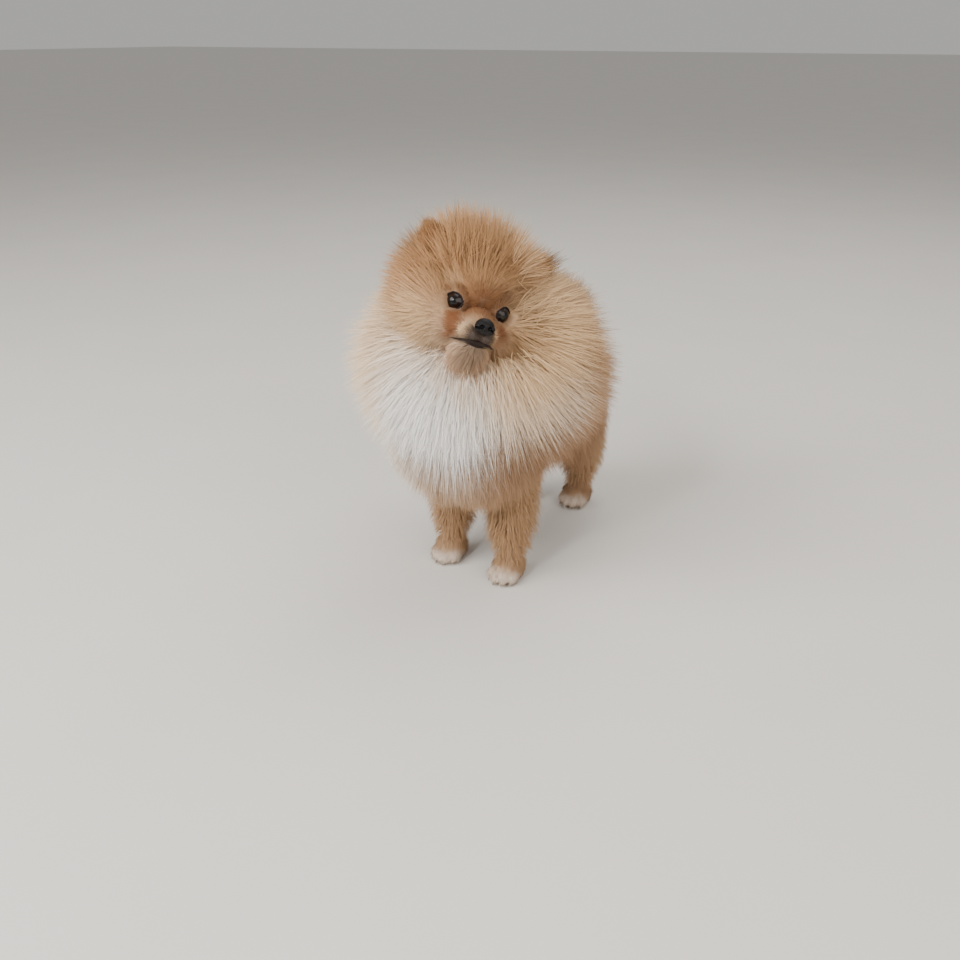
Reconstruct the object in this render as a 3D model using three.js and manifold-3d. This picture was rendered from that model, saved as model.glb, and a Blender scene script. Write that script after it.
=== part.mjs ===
// A life-size pomeranian standing still, its head turned and tilted to its left.
// Millimetres, +Z up. The dog faces -Y and its left side is +X. Its feet stand on z = 0.
import * as THREE from "three";
import { mergeVertices } from "three/addons/utils/BufferGeometryUtils.js";
import Module from "manifold-3d";

const wasm = await Module();
wasm.setup();

// Driving dimensions
const seam = 0.35; // gap between neighbouring pieces
const headYaw = 42.2; // degrees, turned to its left
const headPitch = 10.9; // degrees, nose up
const headRoll = 19.7; // degrees, left eye lower
const eyeLine = [26.9, -48, 242.6]; // the point midway between the eyes
const eyeHalfSpan = 15.6; // to the centre of each eyeball
const eyeballRadius = 8.2;
const lidThickness = 1.4;
const frontPaws = { left: [30, -4], right: [-30, 4] };
const hindPaws = { left: [26, 154], right: [-26, 147] };
const ankleHeight = 18; // where each paw meets its leg

const vec = (p) => new THREE.Vector3(...p);
const degrees = THREE.MathUtils.degToRad;

// A blob is an ellipsoid: its centre, its three radii and, if it is turned, its Euler angles.
const blob = (centre, radii, turn = [0, 0, 0]) => ({
  centre: vec(centre),
  radii: vec(radii),
  back: new THREE.Quaternion().setFromEuler(new THREE.Euler(...turn.map(degrees))).invert(),
});

// Below 0 inside the smooth union of the blobs, and about the distance in millimetres outside it.
function depthIn(blobs, point, blend) {
  let sum = 0;
  for (const b of blobs) {
    const local = point.clone().sub(b.centre).applyQuaternion(b.back).divide(b.radii);
    const size = Math.cbrt(b.radii.x * b.radii.y * b.radii.z);
    sum += Math.exp((-(local.length() - 1) * size) / blend);
  }
  return -blend * Math.log(sum);
}

// How far the blobs' surface lies from a point inside, along a direction.
function reach(blobs, from, direction, blend) {
  const at = (d) => depthIn(blobs, from.clone().addScaledVector(direction, d), blend);
  let outside = 220;
  while (outside > 2 && at(outside) > 0) outside -= 2;
  let inside = outside;
  outside += 2;
  for (let step = 0; step < 14; step++) {
    const middle = (inside + outside) / 2;
    if (at(middle) > 0) outside = middle;
    else inside = middle;
  }
  return inside;
}

// A closed mesh as a solid, with its shared vertices merged.
function solid(geometry) {
  geometry.deleteAttribute("normal");
  geometry.deleteAttribute("uv");
  const merged = mergeVertices(geometry, 1e-4);
  return new wasm.Manifold(
    new wasm.Mesh({
      numProp: 3,
      vertProperties: new Float32Array(merged.attributes.position.array),
      triVerts: new Uint32Array(merged.index.array),
    }),
  );
}

// Moves each vertex of a geometry by a function of its place.
function shaped(geometry, move) {
  const place = geometry.attributes.position;
  const point = new THREE.Vector3();
  for (let i = 0; i < place.count; i++) {
    move(point.fromBufferAttribute(place, i));
    place.setXYZ(i, point.x, point.y, point.z);
  }
  return geometry;
}

// One smooth skin over blobs, seen from a centre inside them. Its poles lie along the y axis.
function wrapped(blobs, centre, { blend = 6, around = 24, along = 16, grow = 0 }) {
  const from = vec(centre);
  const ball = shaped(new THREE.SphereGeometry(1, around, along), (p) => {
    const direction = p.clone().normalize();
    p.copy(from).addScaledVector(direction, reach(blobs, from, direction, blend) + grow);
  });
  return solid(ball);
}

// An ellipsoid on its own.
function ellipsoid(centre, radii, turn = [0, 0, 0], around = 16, along = 10) {
  const ball = new THREE.SphereGeometry(1, around, along).scale(...radii);
  ball.applyQuaternion(new THREE.Quaternion().setFromEuler(new THREE.Euler(...turn.map(degrees))));
  return solid(ball.translate(...centre));
}

// A limb or tail: a tube along a smooth curve, whose radius runs through a list.
function limb(points, radii, { around = 12, along = 14, grow = 0, flat = 1 } = {}) {
  const curve = new THREE.CatmullRomCurve3(points.map(vec));
  const side = new THREE.Vector3(1, 0, 0);
  const tube = shaped(new THREE.CylinderGeometry(1, 1, 1, around, along), (p) => {
    const t = THREE.MathUtils.clamp(p.y + 0.5, 0, 1);
    const place = t * (radii.length - 1);
    const first = Math.min(Math.floor(place), radii.length - 2);
    const radius = THREE.MathUtils.lerp(radii[first], radii[first + 1], place - first) + grow;
    const tangent = curve.getTangent(t);
    const across = side.clone().addScaledVector(tangent, -side.dot(tangent)).normalize();
    const up = across.clone().cross(tangent);
    const [x, z] = [p.x * radius, p.z * radius * flat];
    p.copy(curve.getPoint(t)).addScaledVector(across, x).addScaledVector(up, z);
  });
  return solid(tube);
}

// Everything above or below a level.
const halfSpace = (level, above) =>
  solid(new THREE.BoxGeometry(600, 600, 400).translate(0, 0, level + (above ? 200 : -200)));

const joined = (solids) => wasm.Manifold.union(solids);

// The largest closed surface of a solid.
const largest = (made) =>
  made.decompose().reduce((a, b) => (b.volume() > a.volume() ? b : a));

// The head's own frame has its origin midway between the eyes.
const headTurn = new THREE.Matrix4()
  .makeRotationZ(degrees(headYaw))
  .multiply(new THREE.Matrix4().makeRotationX(degrees(-headPitch)))
  .multiply(new THREE.Matrix4().makeRotationY(degrees(headRoll)))
  .setPosition(...eyeLine);
const inHead = (made) => made.transform(headTurn.elements.slice());

// Head, in its own frame
const mirrored = (centre, radii, turn) => [
  blob(centre, radii, turn),
  blob([-centre[0], centre[1], centre[2]], radii, turn && [turn[0], -turn[1], -turn[2]]),
];
const craniumBlobs = [
  blob([0, 32, 6], [28, 34, 25]), // brain case
  blob([0, 6, 7], [16, 11, 9]), // brow
  ...mirrored([17, 10.5, 1], [10, 9, 9]), // round each eye
  ...mirrored([17, 21, -12], [13, 20, 16]), // cheeks
];
const muzzleBlobs = [
  blob([0, -7, -10], [9.5, 20, 9]), // bridge
  ...mirrored([6, -10, -18.5], [9, 15, 8]), // upper lips
  blob([0, -4, -27], [9.5, 16, 7]), // lower jaw
];
const eyeCentre = (side) => [side * eyeHalfSpan, 6.2, 0];
const sides = { left: 1, right: -1 };

function eyeball(side, grow = 0) {
  const radius = eyeballRadius + grow;
  return ellipsoid(eyeCentre(side), [radius, radius, radius], [0, 0, 0], 12, 8);
}

// The opening between the lids, wider than it is high.
const lidOpening = (side) =>
  ellipsoid([side * 19.2, -3.2, 0], [6.6, 8, 5.6], [0, 0, side * 25], 12, 8);

function nose(grow = 0) {
  return ellipsoid([0, -28.5, -11], [7 + grow, 5 + grow, 5.8 + grow], [0, 0, 0], 12, 8);
}

function nostrils() {
  return joined(
    [1, -1].flatMap((side) => [
      ellipsoid([side * 3, -33.4, -10.8], [1.9, 3.4, 1.7], [0, 0, 0], 6, 4),
      ellipsoid([side * 5.4, -31.4, -11.8], [2.4, 3, 0.9], [0, side * 18, 0], 5, 3),
    ]),
  );
}

// A band across the muzzle along the line of the mouth, rising to its corners.
function mouthBand(half) {
  const lip = new THREE.CatmullRomCurve3([
    vec([0, -36, -23.6]),
    vec([0, -25, -24.2]),
    vec([0, -12, -24.6]),
    vec([0, 0, -22.4]),
  ]);
  const slot = new THREE.Shape([
    new THREE.Vector2(-17, -half),
    new THREE.Vector2(17, -half),
    new THREE.Vector2(17, half),
    new THREE.Vector2(-17, half),
  ]);
  return solid(new THREE.ExtrudeGeometry(slot, { steps: 5, extrudePath: lip, bevelEnabled: false }));
}
const muzzle = (grow = 0, around = 16, along = 10) =>
  wrapped(muzzleBlobs, [0, -6, -19], { blend: 2.5, around, along, grow });
const mouthLine = () => mouthBand(0.45).subtract(muzzle(-1.8, 10, 8));
const lips = (grow = 0) => mouthBand(1.8 + grow).intersect(muzzle(1 + grow));

const philtrum = () => ellipsoid([0, -27, -20], [0.5, 4, 4], [0, 0, 0], 6, 4);

// An upright ear: a pointed leaf, hollowed in front as a cup.
const earBase = (side) => vec([side * 25, 28, 19]);
const earTip = (side) => vec([side * 46, 24, 46]);
function earShape(side, width, depth, length, forward, around = 10, along = 7) {
  const axis = earTip(side).sub(earBase(side)).normalize();
  const front = new THREE.Vector3(side * 0.35, -1, 0);
  front.addScaledVector(axis, -front.dot(axis)).normalize();
  const across = axis.clone().cross(front);
  const leaf = shaped(new THREE.SphereGeometry(1, around, along), (p) => {
    const height = (p.y + 1) / 2;
    const taper = 1 - 0.55 * height * height;
    const [x, y, z] = [p.x * width * taper, height * length, p.z * depth * taper + forward];
    p.copy(earBase(side)).addScaledVector(across, x).addScaledVector(axis, y - 3).addScaledVector(front, z);
  });
  return solid(leaf);
}
const earOuter = (side, grow = 0) => earShape(side, 11 + grow, 5.2 + grow, 40 + 2 * grow, 0);
const earHollow = (side) => earShape(side, 8.8, 5.4, 34, 3.4);

const cranium = (grow = 0) => wrapped(craniumBlobs, [0, 20, -2], { blend: 3.5, around: 16, along: 11, grow });
const skull = (grow = 0) => joined([cranium(grow), muzzle(grow)]);

// The coat: a core at most half as deep as the coat, and the outer form that the tips of its locks reach
const headCore = [blob([0, 38, 6], [44, 35, 40])];
const headCoat = [blob([0, 32, 8], [73, 53, 70])];
const ruffCore = [
  blob([-2, 8, 178], [74, 66, 74]),
  blob([-1, -6, 128], [52, 44, 46]), // chest
];
const ruffCoat = [
  blob([-4, 8, 182], [110, 102, 100]),
  blob([-2, -14, 130], [74, 62, 66]), // chest
];
const torsoCore = [
  blob([2, 84, 140], [55, 74, 45]),
  blob([23, 134, 108], [24, 32, 38]), // thighs
  blob([-23, 130, 108], [24, 32, 38]),
];
const torsoCoat = [
  blob([3, 82, 146], [84, 90, 64]),
  blob([28, 138, 104], [34, 44, 56]), // thighs
  blob([-28, 134, 104], [34, 44, 56]),
];
const tailPath = [
  [0, 132, 150],
  [0, 150, 168],
  [0, 147, 188],
  [0, 122, 198],
  [0, 86, 197],
];

// One lock: a flat three-sided cone that bends from its root over to its tip and tapers late.
function lockSolid({ root, middle, tip, outward, width, thick }, grow = 0) {
  const curve = new THREE.QuadraticBezierCurve3(root, middle, tip);
  const across = tip.clone().sub(root).cross(outward).normalize();
  const ahead = tip.clone().sub(curve.getPoint(0.5)).normalize();
  const rings = [
    [0, 0.9],
    [0.5, 1],
    [1, 0],
  ];
  const cone = shaped(new THREE.ConeGeometry(1, 1, 3, 2), (p) => {
    const ring = Math.round(2 * (p.y + 0.5));
    const [t, full] = rings[ring];
    const radius = ring === 2 ? 1 : 1 - ring / 2;
    const tangent = curve.getTangent(t);
    const up = across.clone().cross(tangent).normalize();
    const x = (p.x / radius) * (width * full + 3 * grow); // its edges are sharp, so they grow more
    const z = (p.z / radius) * (thick * full + 1.7 * grow);
    p.copy(curve.getPoint(t)).addScaledVector(across, x).addScaledVector(up, z);
    if (ring === 2) p.addScaledVector(ahead, 5 * grow);
  });
  return solid(cone);
}

// The same random numbers at each run.
function seeded(seed) {
  let state = seed;
  return () => {
    state = (state * 1664525 + 1013904223) % 4294967296;
    return state / 4294967296;
  };
}

// Locks spread evenly over a coat that surrounds a centre, each leaning over along the coat's lie.
function locksOver({ core, coat, centre, blend, count, lie, lean, width, thick, sink, seed, keep }) {
  const from = vec(centre);
  const random = seeded(seed);
  const goldenAngle = Math.PI * (3 - Math.sqrt(5));
  const found = [];
  for (let i = 0; i < count; i++) {
    const height = 1 - (2 * (i + 0.5)) / count;
    const ring = Math.sqrt(1 - height * height);
    const out = vec([ring * Math.cos(i * goldenAngle), height, ring * Math.sin(i * goldenAngle)]);
    const under = reach(core, from, out, blend);
    const skin = from.clone().addScaledVector(out, under);
    const root = from.clone().addScaledVector(out, under - sink);
    const flow = lie(skin);
    flow.addScaledVector(out, -flow.dot(out)).normalize();
    flow.applyAxisAngle(out, 0.5 * (random() - 0.5));
    const toward = (angle) =>
      out.clone().multiplyScalar(Math.cos(angle)).addScaledVector(flow, Math.sin(angle));
    const [middleWay, tipWay] = [toward(0.35 * lean), toward(lean * (0.85 + 0.3 * random()))];
    const bulge = under + 0.7 * (reach(coat, from, middleWay, blend) - under);
    const tip = from.clone().addScaledVector(tipWay, reach(coat, from, tipWay, blend) - 3 * random());
    const size = 0.85 + 0.3 * random();
    if (!keep(skin, tip)) continue;
    found.push({
      root,
      middle: from.clone().addScaledVector(middleWay, bulge),
      tip,
      outward: out,
      width: width * size,
      thick: thick * size,
    });
  }
  return found;
}

// Locks along the tail, leaving it on every side and leaning towards its end.
function tailLocks() {
  const curve = new THREE.CatmullRomCurve3(tailPath.map(vec));
  const random = seeded(7);
  const found = [];
  const rows = 5;
  for (let row = 0; row < rows; row++) {
    const t = 0.2 + (0.8 * row) / rows;
    const [at, along] = [curve.getPoint(t), curve.getTangent(t)];
    const up = vec([1, 0, 0]).cross(along).negate();
    const around = 5 + (row % 2);
    for (let i = 0; i < around; i++) {
      const angle = (2 * Math.PI * (i + 0.5 * (row % 2) + 0.3 * random())) / around;
      const out = vec([Math.cos(angle), 0, 0]).addScaledVector(up, Math.sin(angle)).normalize();
      const far = THREE.MathUtils.lerp(38, Math.sin(angle) > 0 ? 26 : 12, Math.abs(Math.sin(angle)));
      found.push({
        root: at.clone().addScaledVector(out, 6),
        middle: at.clone().addScaledVector(out, 0.8 * far).addScaledVector(along, 10),
        tip: at.clone().addScaledVector(out, far).addScaledVector(along, 34 + 8 * random()),
        outward: out,
        width: 14,
        thick: 4.5,
      });
    }
  }
  return found;
}

const intoHead = headTurn.clone().invert();
const insideHeadCoat = (p) => depthIn(headCoat, p.clone().applyMatrix4(intoHead), 6);
// True of a lock that stays clear of the head's own coat, or that starts in front of it below the chin.
const besideHead = (skin, tip) =>
  (insideHeadCoat(tip) > -2 && insideHeadCoat(skin) > -8) ||
  (skin.clone().applyMatrix4(intoHead).y < 14 && tip.clone().applyMatrix4(intoHead).z < -36);
const faceInDog = vec([0, -10, -8]).applyMatrix4(headTurn);
const fromFace = (p) => Math.hypot(p.x, p.z + 5); // distance from the line through the middle of the face

const headLocks = locksOver({
  core: headCore,
  coat: headCoat,
  centre: [0, 34, 6],
  blend: 6,
  count: 84,
  lie: (p) => p.clone().sub(vec([0, -30, -6])),
  lean: 0.6,
  width: 11.5,
  thick: 4,
  sink: 8,
  seed: 3,
  keep: (skin, tip) => fromFace(skin) > 26 && skin.y < 62 && tip.z - 0.5 * (tip.y - 30) > -48,
});
const ruffLocks = locksOver({
  core: ruffCore,
  coat: ruffCoat,
  centre: [-3, 2, 160],
  blend: 14,
  count: 100,
  lie: (p) => p.clone().sub(faceInDog),
  lean: 0.5,
  width: 18.5,
  thick: 5.5,
  sink: 10,
  seed: 5,
  keep: (skin, tip) => besideHead(skin, tip) && skin.y < (skin.z > 170 ? 64 : 48),
});
const torsoLocks = locksOver({
  core: torsoCore,
  coat: torsoCoat,
  centre: [0, 90, 134],
  blend: 8,
  count: 72,
  lie: (p) => vec([0, 1, p.z < 120 ? -1.4 : -0.35]),
  lean: 0.5,
  width: 17,
  thick: 5,
  sink: 8,
  seed: 9,
  keep: (skin, tip) =>
    depthIn(ruffCoat, tip, 14) > -3 && !(Math.abs(skin.x) < 20 && skin.y > 50 && skin.z > 150),
});
const plume = tailLocks();

// Long hair that stands up beside and behind each ear.
function earFringe(side) {
  return [
    [66, 30, 32],
    [56, 42, 48],
  ].map(([out, back, up]) => ({
    root: vec([side * 0.45 * out, back, 0.5 * up]),
    middle: vec([side * 0.72 * out, back + 2, 0.9 * up]),
    tip: vec([side * out, back + 2, up]),
    outward: vec([0, -1, 0.2]).normalize(),
    width: 10,
    thick: 4,
  }));
}

const fused = (core, locks, grow = 0) => joined([core, ...locks.map((lock) => lockSolid(lock, grow))]);
const headHair = (grow = 0) =>
  fused(wrapped(headCore, [0, 34, 6], { blend: 6, around: 14, along: 10, grow }), [...headLocks, ...earFringe(1), ...earFringe(-1)], grow);
const ruffSolid = (grow = 0) =>
  fused(wrapped(ruffCore, [-3, 2, 160], { blend: 14, around: 14, along: 9, grow }), ruffLocks, grow);
const torsoSolid = (grow = 0) =>
  fused(wrapped(torsoCore, [0, 90, 134], { blend: 8, around: 14, along: 10, grow }), torsoLocks, grow);
const tailSolid = (grow = 0) =>
  fused(limb(tailPath, [20, 21, 22, 20, 13], { around: 8, along: 7, grow, flat: 0.8 }), plume, grow);

// Feathering behind a leg, hanging down from the limb's middle line.
function feathers(line, outward, { from, to, count, far, width, side }) {
  const random = seeded(11 + count);
  const curve = new THREE.CatmullRomCurve3(line.map(vec));
  return Array.from({ length: count }, (_, i) => {
    const t = THREE.MathUtils.lerp(from, to, i / (count - 1));
    const at = curve.getPoint(t);
    const out = vec(outward).applyAxisAngle(vec([0, 0, 1]), side * (i % 2 ? 0.45 : -0.35) + 0.2 * (random() - 0.5));
    return {
      root: at.clone().addScaledVector(out, 2),
      middle: at.clone().addScaledVector(out, far).add(vec([0, 0, 2])),
      tip: at.clone().addScaledVector(out, far * (1.05 + 0.2 * random())).add(vec([0, 0, -20 - 8 * random()])),
      outward: out,
      width,
      thick: 4,
    };
  });
}

// A leg out to half its coat, with feathering behind and outside it.
function leg(line, radii, side, grow = 0) {
  const bare = limb(line, radii, { around: 10, along: 5, grow });
  const behind = feathers(line, [side * 0.2, 1, 0], { from: 0.36, to: 0.6, count: 3, far: 21, width: 9, side });
  const outer = feathers(line, [side, 0.2, 0], { from: 0.36, to: 0.62, count: 3, far: 21, width: 9, side });
  const hanging = [...behind, ...outer].map((lock) => lockSolid(lock, grow));
  return joined([bare, ...hanging]);
}

function foreleg(side, [x, y], grow = 0) {
  const line = [
    [x, y + 5, 12],
    [x, y + 7, 40],
    [x * 0.97, y + 12, 75],
    [x * 0.9, y + 16, 120],
  ];
  return leg(line, [14, 18, 20.5, 21], side, grow);
}

function hindleg(side, [x, y], grow = 0) {
  const line = [
    [x, y + 6, 12],
    [x, y + 13, 42],
    [x * 1.05, y + 6, 68],
    [x * 1.0, y - 12, 105],
  ];
  return leg(line, [13, 16.5, 19.5, 22], side, grow);
}

// A paw: a rounded foot with four toes, flat underneath.
function paw([x, y]) {
  const toes = [
    [-9.2, -9.5, 1.5],
    [-3.6, -14.5, 2.5],
    [3.6, -14.5, 2.5],
    [9.2, -9.5, 1.5],
  ];
  const foot = joined([
    ellipsoid([x, y + 3, 8], [15, 17, 16], [0, 0, 0], 8, 5),
    ...toes.map(([dx, dy, dz]) => ellipsoid([x + dx, y + dy, 6 + dz], [5.6, 8, 8], [0, 0, 0], 5, 4)),
  ]);
  return foot.intersect(halfSpace(0, true));
}

// The whole animal, parted
const eyes = Object.entries(sides).map(([name, side]) => [`eye_${name}`, inHead(eyeball(side))]);
const ears = Object.entries(sides).map(([name, side]) => [
  `ear_${name}`,
  inHead(largest(earOuter(side).subtract(earHollow(side)).subtract(skull(seam)))),
]);
const noseSolid = inHead(nose().subtract(nostrils()));

function wholeHead(grow = 0) {
  const lids = [1, -1].map((side) => eyeball(side, lidThickness + grow));
  return joined([skull(grow), ...lids, lips(grow), headHair(grow)]);
}

function headSolid() {
  const cuts = joined([
    ...[1, -1].flatMap((side) => [eyeball(side, seam), lidOpening(side), earOuter(side, seam)]),
    nose(seam),
    mouthLine(),
    philtrum(),
  ]);
  return largest(wholeHead().subtract(cuts));
}
const headGrown = inHead(wholeHead(seam));
const ankle = [halfSpace(ankleHeight, false), halfSpace(ankleHeight + seam, true)];
const legs = [];
const sockets = [];
for (const [name, side] of Object.entries(sides)) {
  for (const [kind, make, places] of [
    ["fore", foreleg, frontPaws],
    ["hind", hindleg, hindPaws],
  ]) {
    legs.push([`${kind}leg_${name}`, largest(make(side, places[name]).intersect(ankle[1]))]);
    legs.push([`${kind}paw_${name}`, largest(paw(places[name]).intersect(ankle[0]))]);
    sockets.push(make(side, places[name], seam));
  }
}
const ruff = largest(ruffSolid().subtract(joined([headGrown, ...sockets])));
const tail = largest(tailSolid().subtract(ruffSolid(seam)));
const torso = largest(torsoSolid().subtract(joined([ruffSolid(seam), tailSolid(seam), ...sockets])));

// Finishes
const finish = (color, roughness) => new THREE.MeshStandardMaterial({ color, roughness, metalness: 0 });
const finishes = {
  coat: finish(0xc9a077, 0.9),
  whiteCoat: finish(0xe2dbd2, 0.9),
  earSkin: finish(0xb98a6a, 0.8),
  eye: finish(0x120c0a, 0.08),
  nose: finish(0x17161a, 0.35),
};

const dog = new THREE.Group();
function add(name, made, material) {
  const { min, max } = made.boundingBox();
  const centre = min.map((low, axis) => (low + max[axis]) / 2);
  const mesh = made.getMesh();
  const positions = new Float32Array(mesh.numVert * 3);
  for (let i = 0; i < mesh.numVert; i++) {
    for (let axis = 0; axis < 3; axis++)
      positions[3 * i + axis] = mesh.vertProperties[i * mesh.numProp + axis] - centre[axis];
  }
  const geometry = new THREE.BufferGeometry();
  geometry.setAttribute("position", new THREE.BufferAttribute(positions, 3));
  geometry.setIndex(new THREE.BufferAttribute(mesh.triVerts, 1));
  geometry.computeVertexNormals();
  const piece = new THREE.Mesh(geometry, material);
  piece.name = name;
  piece.position.set(...centre);
  dog.add(piece);
}

add("head", inHead(headSolid()), finishes.coat);
add("neck_ruff", ruff, finishes.coat);
add("torso", torso, finishes.coat);
add("tail", tail, finishes.coat);
for (const [name, made] of ears) add(name, made, finishes.earSkin);
for (const [name, made] of eyes) add(name, made, finishes.eye);
add("nose", noseSolid, finishes.nose);
for (const [name, made] of legs) add(name, made, name.includes("paw") ? finishes.whiteCoat : finishes.coat);

// The origin is the middle of the model's box, on the floor.
const box = new THREE.Box3().setFromObject(dog);
dog.position.set(-(box.min.x + box.max.x) / 2, -(box.min.y + box.max.y) / 2, -box.min.z);

export default dog;
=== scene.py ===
import math

import bpy
import numpy as np
from mathutils import Matrix, Vector
from mathutils.kdtree import KDTree


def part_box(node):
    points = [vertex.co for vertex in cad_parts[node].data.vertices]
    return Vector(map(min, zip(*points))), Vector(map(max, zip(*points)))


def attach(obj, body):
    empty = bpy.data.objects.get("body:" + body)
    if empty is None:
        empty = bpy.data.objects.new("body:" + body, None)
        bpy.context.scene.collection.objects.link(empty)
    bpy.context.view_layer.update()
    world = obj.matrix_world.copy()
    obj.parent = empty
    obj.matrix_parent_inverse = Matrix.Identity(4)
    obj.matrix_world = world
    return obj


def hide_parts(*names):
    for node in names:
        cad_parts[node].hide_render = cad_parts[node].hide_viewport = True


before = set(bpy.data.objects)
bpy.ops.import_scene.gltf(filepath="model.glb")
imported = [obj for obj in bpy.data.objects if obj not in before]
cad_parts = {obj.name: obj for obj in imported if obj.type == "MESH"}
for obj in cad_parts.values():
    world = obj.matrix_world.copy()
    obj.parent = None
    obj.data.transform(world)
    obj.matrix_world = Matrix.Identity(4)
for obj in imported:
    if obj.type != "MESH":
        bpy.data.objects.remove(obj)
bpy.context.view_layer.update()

mm = 0.001

# places are given in millimetres from the point on the floor midway between the front paws, with
# the dog facing -Y, and the solids of the eyes tell how the model's own frame is shifted from that
eyesFromPaws = (22.810, -43.490)
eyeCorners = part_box("eye_left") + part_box("eye_right")
eyeMiddle = sum(eyeCorners, Vector()) * 250.0  # a quarter of the four corners, in millimetres
bodyShift = Vector((eyeMiddle.x - eyesFromPaws[0], eyeMiddle.y - eyesFromPaws[1], 0.0))
headOrigin = Vector((26.9, -48.0, 242.6))  # midway between the eyes
headTurn = (Matrix.Rotation(math.radians(42.2), 3, "Z") @ Matrix.Rotation(math.radians(-10.9), 3, "X")
            @ Matrix.Rotation(math.radians(19.7), 3, "Y"))
headNumbers = np.array(headTurn)


def bodyPlace(x, y, z):
    return (Vector((x, y, z)) + bodyShift) * mm


def headPoint(x, y, z):
    return headTurn @ Vector((x, y, z)) + headOrigin


def headPlace(x, y, z):
    return bodyPlace(*headPoint(x, y, z))


# small tools for modelling

def deselectAll():
    if bpy.context.object and bpy.context.object.mode != "OBJECT":
        bpy.ops.object.mode_set(mode="OBJECT")
    bpy.ops.object.select_all(action="DESELECT")


def pick(piece):
    deselectAll()
    piece.select_set(True)
    bpy.context.view_layer.objects.active = piece


def settle(name=None):
    bpy.ops.object.transform_apply(location=True, rotation=True, scale=True)
    piece = bpy.context.object
    if name:
        piece.name = name
        piece.data.name = name
    return piece


def addBall(place, radii, turn=None, segments=28, rings=18, name=None):
    deselectAll()
    angles = (turn or Matrix.Identity(3)).to_euler()
    size = Vector(radii) * mm
    bpy.ops.mesh.primitive_uv_sphere_add(segments=segments, ring_count=rings, radius=1.0,
                                         location=place, rotation=angles, scale=size)
    return settle(name)


def addLimb(points, radii):
    made = []
    for point, radius in zip(points, radii):
        made.append(addBall(bodyPlace(*point), (radius, radius, radius)))
    for i in range(len(points) - 1):
        start = bodyPlace(*points[i])
        end = bodyPlace(*points[i + 1])
        deselectAll()
        bpy.ops.mesh.primitive_cone_add(vertices=28, radius1=radii[i] * mm, radius2=radii[i + 1] * mm,
                                        depth=(end - start).length, location=(start + end) / 2,
                                        rotation=(end - start).to_track_quat("Z", "Y").to_euler())
        made.append(settle())
    return made


def joinAll(pieces, name):
    deselectAll()
    for piece in pieces:
        piece.select_set(True)
    bpy.context.view_layer.objects.active = pieces[0]
    bpy.ops.object.join()
    piece = bpy.context.object
    piece.name = name
    piece.data.name = name
    return piece


def applyModifier(piece, kind, **values):
    pick(piece)
    modifier = piece.modifiers.new(kind.lower(), kind)
    for key, value in values.items():
        setattr(modifier, key, value)
    bpy.ops.object.modifier_apply(modifier=modifier.name)


def readAll(items, field, width, kind=np.float32):
    numbers = np.empty(len(items) * width, kind)
    items.foreach_get(field, numbers)
    return numbers.reshape(-1, width)


def flat(values):
    return np.asarray(values, np.float32).ravel()


def meshPoints(piece):
    return readAll(piece.data.vertices, "co", 3).astype(float)


def setMeshPoints(piece, points):
    piece.data.vertices.foreach_set("co", flat(points))
    piece.data.update()


def toBody(points):
    return points * 1000.0 - np.array(bodyShift)


def toHead(points):
    return (points - np.array(headOrigin)) @ headNumbers


def fromHead(local):
    return (local @ headNumbers.T + np.array(headOrigin) + np.array(bodyShift)) * mm


def turnOutwards():
    bpy.ops.object.mode_set(mode="EDIT")
    bpy.ops.mesh.select_all(action="SELECT")
    bpy.ops.mesh.normals_make_consistent(inside=False)
    bpy.ops.object.mode_set(mode="OBJECT")


def cutAcross(axis, places):
    # new rings of edges, square to the axis
    bpy.ops.object.mode_set(mode="EDIT")
    for place in places:
        bpy.ops.mesh.select_all(action="SELECT")
        bpy.ops.mesh.bisect(plane_co=Vector(axis) * place, plane_no=axis)
    bpy.ops.object.mode_set(mode="OBJECT")


def mirrored(rows):
    # the same rows on both sides, where the first entry is a place off the middle
    return [((side * x, y, z), *rest) for (x, y, z), *rest in rows for side in ((1, -1) if x else (1,))]


# the skin: one closed body under the coat, from balls and limbs in the body's and the head's axes
skinShape = {
    "voxel": 0.0016, "smoothing": 6,
    "cranium": mirrored([((0, 32, 6), (28, 34, 25)), ((0, 8, 7), (16, 11, 9)),
                         ((17, 10.5, 1), (10, 9, 9)), ((17, 21, -12), (13, 20, 16))]),
    "muzzle": mirrored([((0, -7, -10), (9.5, 20, 9)), ((5, -12, -18), (7.8, 14, 7.6)),
                        ((11, -2, -17), (11.5, 13, 10)), ((0, -5, -27), (11.0, 16, 7))]),
    "cheeks": mirrored([((14, 5, -15), (12, 13, 12)), ((25, 13, -6), (13, 13, 15))]),
    "headBase": [((0, 44, 5), (41, 31, 37))],
    "ruff": [((-2, 10, 176), (71, 63, 71)), ((-1, -4, 128), (50, 42, 44))],
    "torso": [((2, 84, 140), (52, 71, 43)), ((23, 134, 108), (22, 30, 36)), ((-23, 130, 108), (22, 30, 36))],
    "tail": [(0, 132, 150), (0, 150, 168), (0, 147, 188), (0, 122, 198), (0, 86, 197)],
    "tailRadii": [17, 17, 17, 15, 10],
    "frontPaws": {1: (30, -4), -1: (-30, 4)},
    "hindPaws": {1: (26, 154), -1: (-26, 147)},
    "frontLegRadii": [10, 10.5, 13, 18],
    "hindLegRadii": [9, 10, 14, 19],
    "pawRadii": (13.5, 16, 12),
    "toes": ((-9.5, -7), (-3.4, -12), (3.4, -12), (9.5, -7)),
    "toeRadii": (4.4, 7, 5.6), "toeHeight": 6.4,
    "lidMound": (9.5, 9.5, 9.5),
    "faceDetail": ((0, -4, -9), (30, 30, 22)),
}
earShape = {
    "base": (24, 28, 15), "tip": (38, 24, 33), "outward": 0.35, "radii": (11, 5.0, 21),
    "hollowRadii": (8.2, 5.2, 17), "hollowAhead": 0.0042,
}
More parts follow.
